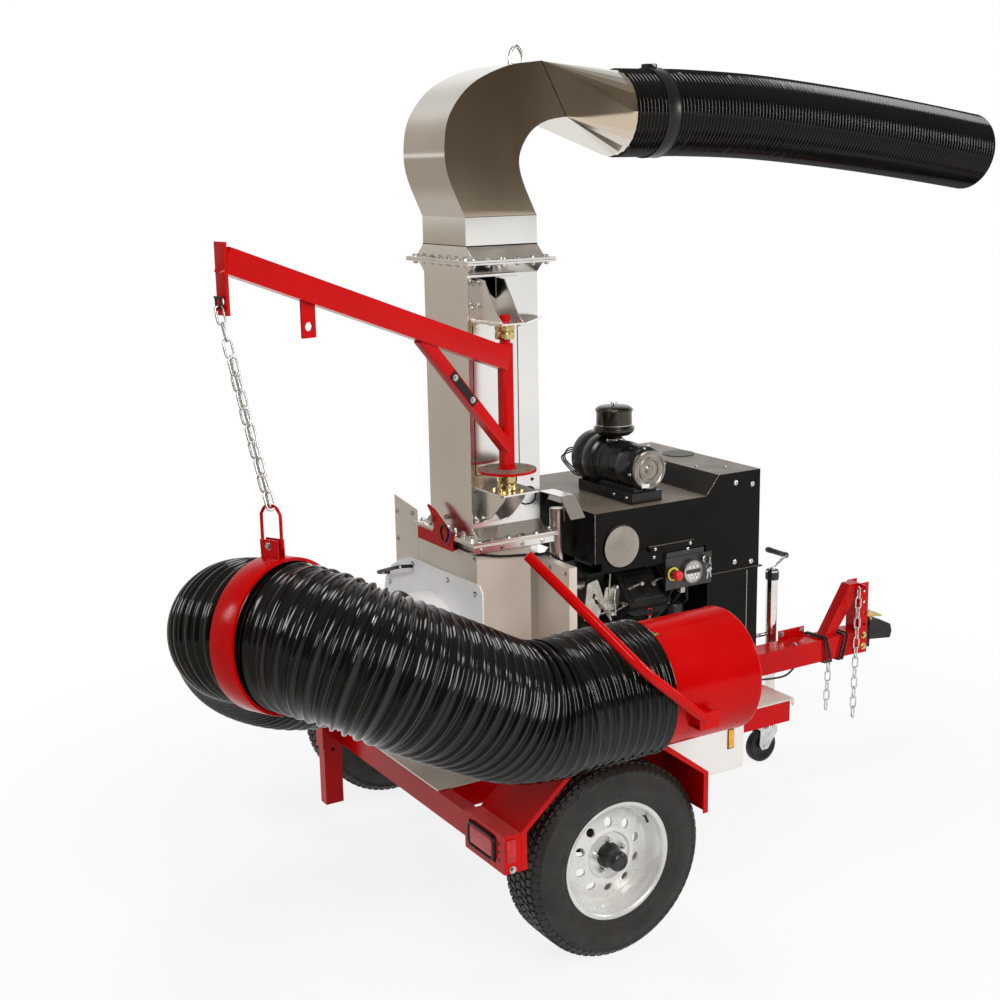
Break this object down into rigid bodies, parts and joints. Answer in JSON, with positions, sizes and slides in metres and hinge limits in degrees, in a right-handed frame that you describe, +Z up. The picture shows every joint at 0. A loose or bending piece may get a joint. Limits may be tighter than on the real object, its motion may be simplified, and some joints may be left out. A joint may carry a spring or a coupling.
{
  "type": "tow-behind leaf loader",
  "caption": "Towed leaf loader: engine-driven blower on a two-wheel trailer, ribbed intake hose on a swinging boom, square discharge duct with elbow and hose, drawbar, jack and fenders.",
  "frame": {"origin": "on the ground, under the middle of the whole machine's bounding box", "axes": "+X forwards towards the hitch, +Y to the machine's left, +Z up"},
  "size_m": [3.8914, 2.1636, 3.04],
  "materials": {
    "red_paint": "gloss red powder coat",
    "stainless": "mill-finish stainless sheet",
    "zinc": "galvanised or zinc-plated steel",
    "yellow_zinc": "yellow zinc-plated castings",
    "black_paint": "satin black powder coat",
    "rubber": "glossy black flexible hose and leads",
    "tyre": "matt black tyre",
    "white_paint": "white powder coat",
    "white_plastic": "moulded white tank",
    "rim_paint": "silver-white wheel paint",
    "aluminium": "grey mesh",
    "engine_metal": "dark cast alloy",
    "black_plastic": "satin black moulding",
    "red_lens": "clear red lens",
    "red_button": "red button",
    "cast_iron": "dark painted casting"
  },
  "bodies": {
    "trailer": {"chassis_frame": "red_paint", "tongue_frame": "red_paint", "fender_right": "red_paint", "fender_left": "red_paint", "switch_bracket": "red_paint", "deck_plate": "stainless", "blower_housing": "stainless", "bulkhead": "stainless", "discharge_duct": "stainless", "boom_bracket_upper": "stainless", "boom_bracket_lower": "stainless", "elbow": "stainless", "exhaust_shield": "stainless", "exhaust_pipe": "zinc", "safety_chain_right": "zinc", "safety_chain_left": "zinc", "boom_bearing_upper": "yellow_zinc", "boom_bearing_lower": "yellow_zinc", "axle": "black_paint", "coupler_body": "black_paint", "hose_clamp": "black_paint", "engine_cowl": "black_paint", "enclosure_base": "black_paint", "discharge_hose": "rubber", "intake_hose": "rubber", "wiring_harness": "rubber", "interlock_cable": "rubber", "inlet_door": "white_paint", "fuel_tank": "white_plastic", "cowl_grille": "aluminium", "engine_block": "engine_metal", "air_cleaner": "black_plastic", "precleaner": "black_plastic", "control_panel": "black_plastic", "tail_lamp_right": "red_lens", "tail_lamp_left": "red_lens"},
    "boom": {"boom_frame": "red_paint", "boom_chain": "zinc", "band_link": "red_paint", "hose_band": "red_paint", "nozzle": "red_paint", "nozzle_handle": "red_paint"},
    "wheel_right": {"tyre_right": "tyre", "rim_right": "rim_paint", "hub_right": "cast_iron"},
    "wheel_left": {"tyre_left": "tyre", "rim_left": "rim_paint", "hub_left": "cast_iron"},
    "impeller": {"impeller": "cast_iron"},
    "latch": {"coupler_latch": "yellow_zinc"},
    "jack": {"jack_tube": "zinc"},
    "jack_inner": {"jack_leg": "zinc"},
    "crank": {"jack_crank": "cast_iron"},
    "caster": {"caster_fork": "zinc"},
    "roller": {"caster_wheel": "black_plastic"},
    "drop_foot": {"drop_leg": "red_paint"},
    "estop": {"estop_button": "red_button"},
    "key": {"ignition_key": "zinc"}
  },
  "joints": [
    {"name": "boom_swing", "type": "hinge", "parent": "trailer", "child": "boom", "pos_m": [-0.62683, -0.14817, 1.8], "axis": [0, 0, 1], "range_deg": [-30, 15], "deforming": ["intake_hose"]},
    {"name": "wheel_right_roll", "type": "hinge", "parent": "trailer", "child": "wheel_right", "pos_m": [-0.59683, -0.68617, 0.344], "axis": [0, 1, 0], "continuous": true},
    {"name": "wheel_left_roll", "type": "hinge", "parent": "trailer", "child": "wheel_left", "pos_m": [-0.59683, 0.94983, 0.344], "axis": [0, 1, 0], "continuous": true},
    {"name": "impeller_spin", "type": "hinge", "parent": "trailer", "child": "impeller", "pos_m": [-0.59683, 0.26183, 0.85], "axis": [1, 0, 0], "continuous": true},
    {"name": "latch_lift", "type": "hinge", "parent": "trailer", "child": "latch", "pos_m": [1.40547, 0.13183, 0.619], "axis": [0, -1, 0], "range_deg": [0, 60]},
    {"name": "jack_fold", "type": "hinge", "parent": "trailer", "child": "jack", "pos_m": [0.95817, 0.24783, 0.525], "axis": [0, -1, 0], "range_deg": [0, 90]},
    {"name": "jack_extend", "type": "slide", "parent": "jack", "child": "jack_inner", "axis": [0, 0, 1], "range_m": [-0.0575, 0.23]},
    {"name": "crank_turn", "type": "hinge", "parent": "jack", "child": "crank", "pos_m": [0.95817, 0.24783, 0.862], "axis": [0, 0, 1], "range_deg": [-180, 720]},
    {"name": "caster_swivel", "type": "hinge", "parent": "jack_inner", "child": "caster", "pos_m": [0.95817, 0.24783, 0.159], "axis": [0, 0, 1], "continuous": true},
    {"name": "caster_roll", "type": "hinge", "parent": "caster", "child": "roller", "pos_m": [0.91317, 0.24783, 0.075], "axis": [0, 1, 0], "continuous": true},
    {"name": "drop_leg_slide", "type": "slide", "parent": "trailer", "child": "drop_foot", "axis": [0, 0, 1], "range_m": [-0.13, 0.2]},
    {"name": "estop_press", "type": "slide", "parent": "trailer", "child": "estop", "axis": [0, 1, 0], "range_m": [0, 0.005], "stiffness_N_per_m": 800},
    {"name": "key_turn", "type": "hinge", "parent": "trailer", "child": "key", "pos_m": [0.19617, -0.22417, 1.151], "axis": [0, 1, 0], "range_deg": [0, 60]}
  ],
  "couplings": [
    {"joint": "crank_turn", "follows": "jack_extend", "rad_per_m": 54.636}
  ]
}
